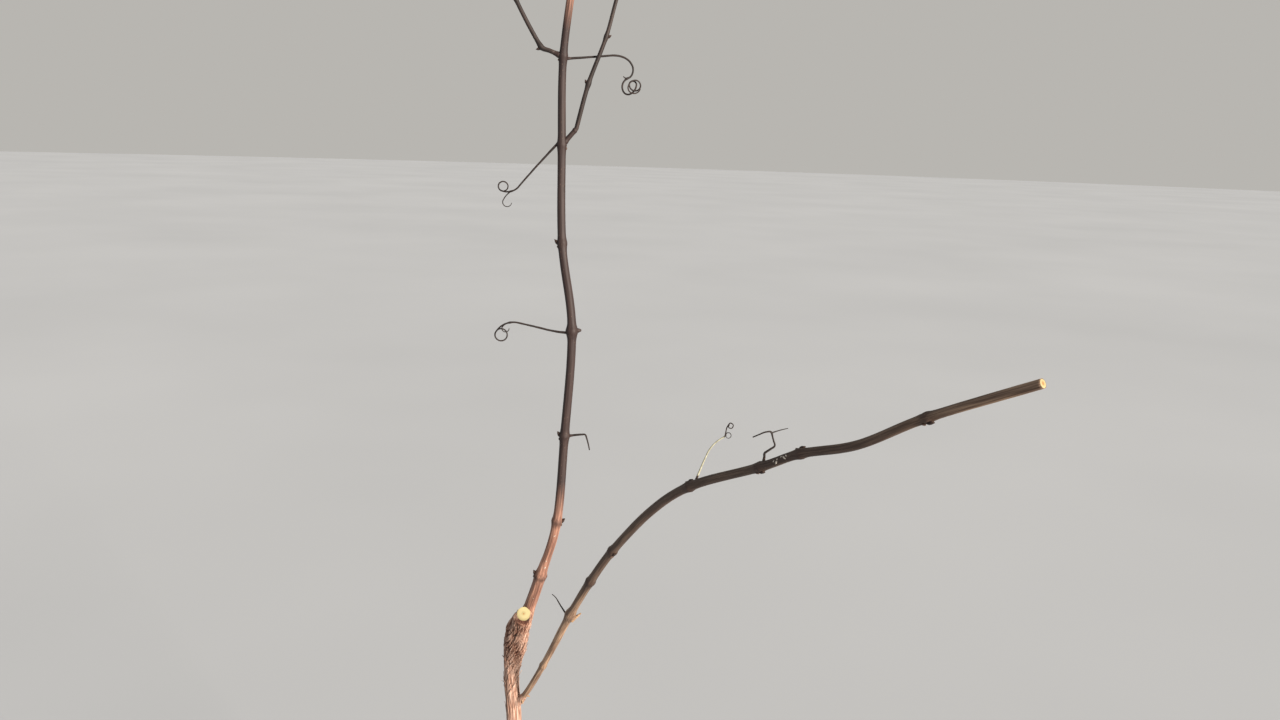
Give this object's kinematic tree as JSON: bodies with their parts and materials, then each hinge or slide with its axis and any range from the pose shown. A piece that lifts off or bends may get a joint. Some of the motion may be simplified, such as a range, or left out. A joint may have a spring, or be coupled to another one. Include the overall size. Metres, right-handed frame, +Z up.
{
  "type": "young grapevine",
  "caption": "Bare young vine in winter: slim trunk with a sawn head, an upright cane, a cane bent along the row, side shoots and curled tendrils.",
  "frame": {"origin": "centre of the flat cut under the trunk, at ground level", "axes": "+Z up, +X level along the row, the way the bent cane is laid, +Y level across the row"},
  "size_m": [0.7339, 0.2526, 2.2679],
  "materials": {
    "bark": "shaggy strips of dry fibrous bark, pinkish brown over dark brown",
    "cane": "ripe cane bark with fine lengthwise lines, brown to slate brown, dull",
    "shoot": "thin ripe shoots, brown, finely lined",
    "tendril": "dry woody tendrils, dark brown to pale straw"
  },
  "bodies": {
    "root": {"trunk": "bark", "upright_cane": "cane", "arched_cane_rise": "cane", "arched_cane_bend": "cane", "arched_cane_reach": "cane", "tendril_low_right": "tendril", "tendril_middle_left": "tendril", "tendril_upper_left": "tendril", "tendril_coiled": "tendril", "tendril_high_left": "tendril", "tendril_bend_low": "tendril", "tendril_bend_curled": "tendril", "tendril_bend_crooked": "tendril", "side_shoot_right": "shoot", "side_shoot_left": "shoot", "side_shoot_top": "shoot", "leader_tip": "shoot"}
  },
  "joints": []
}
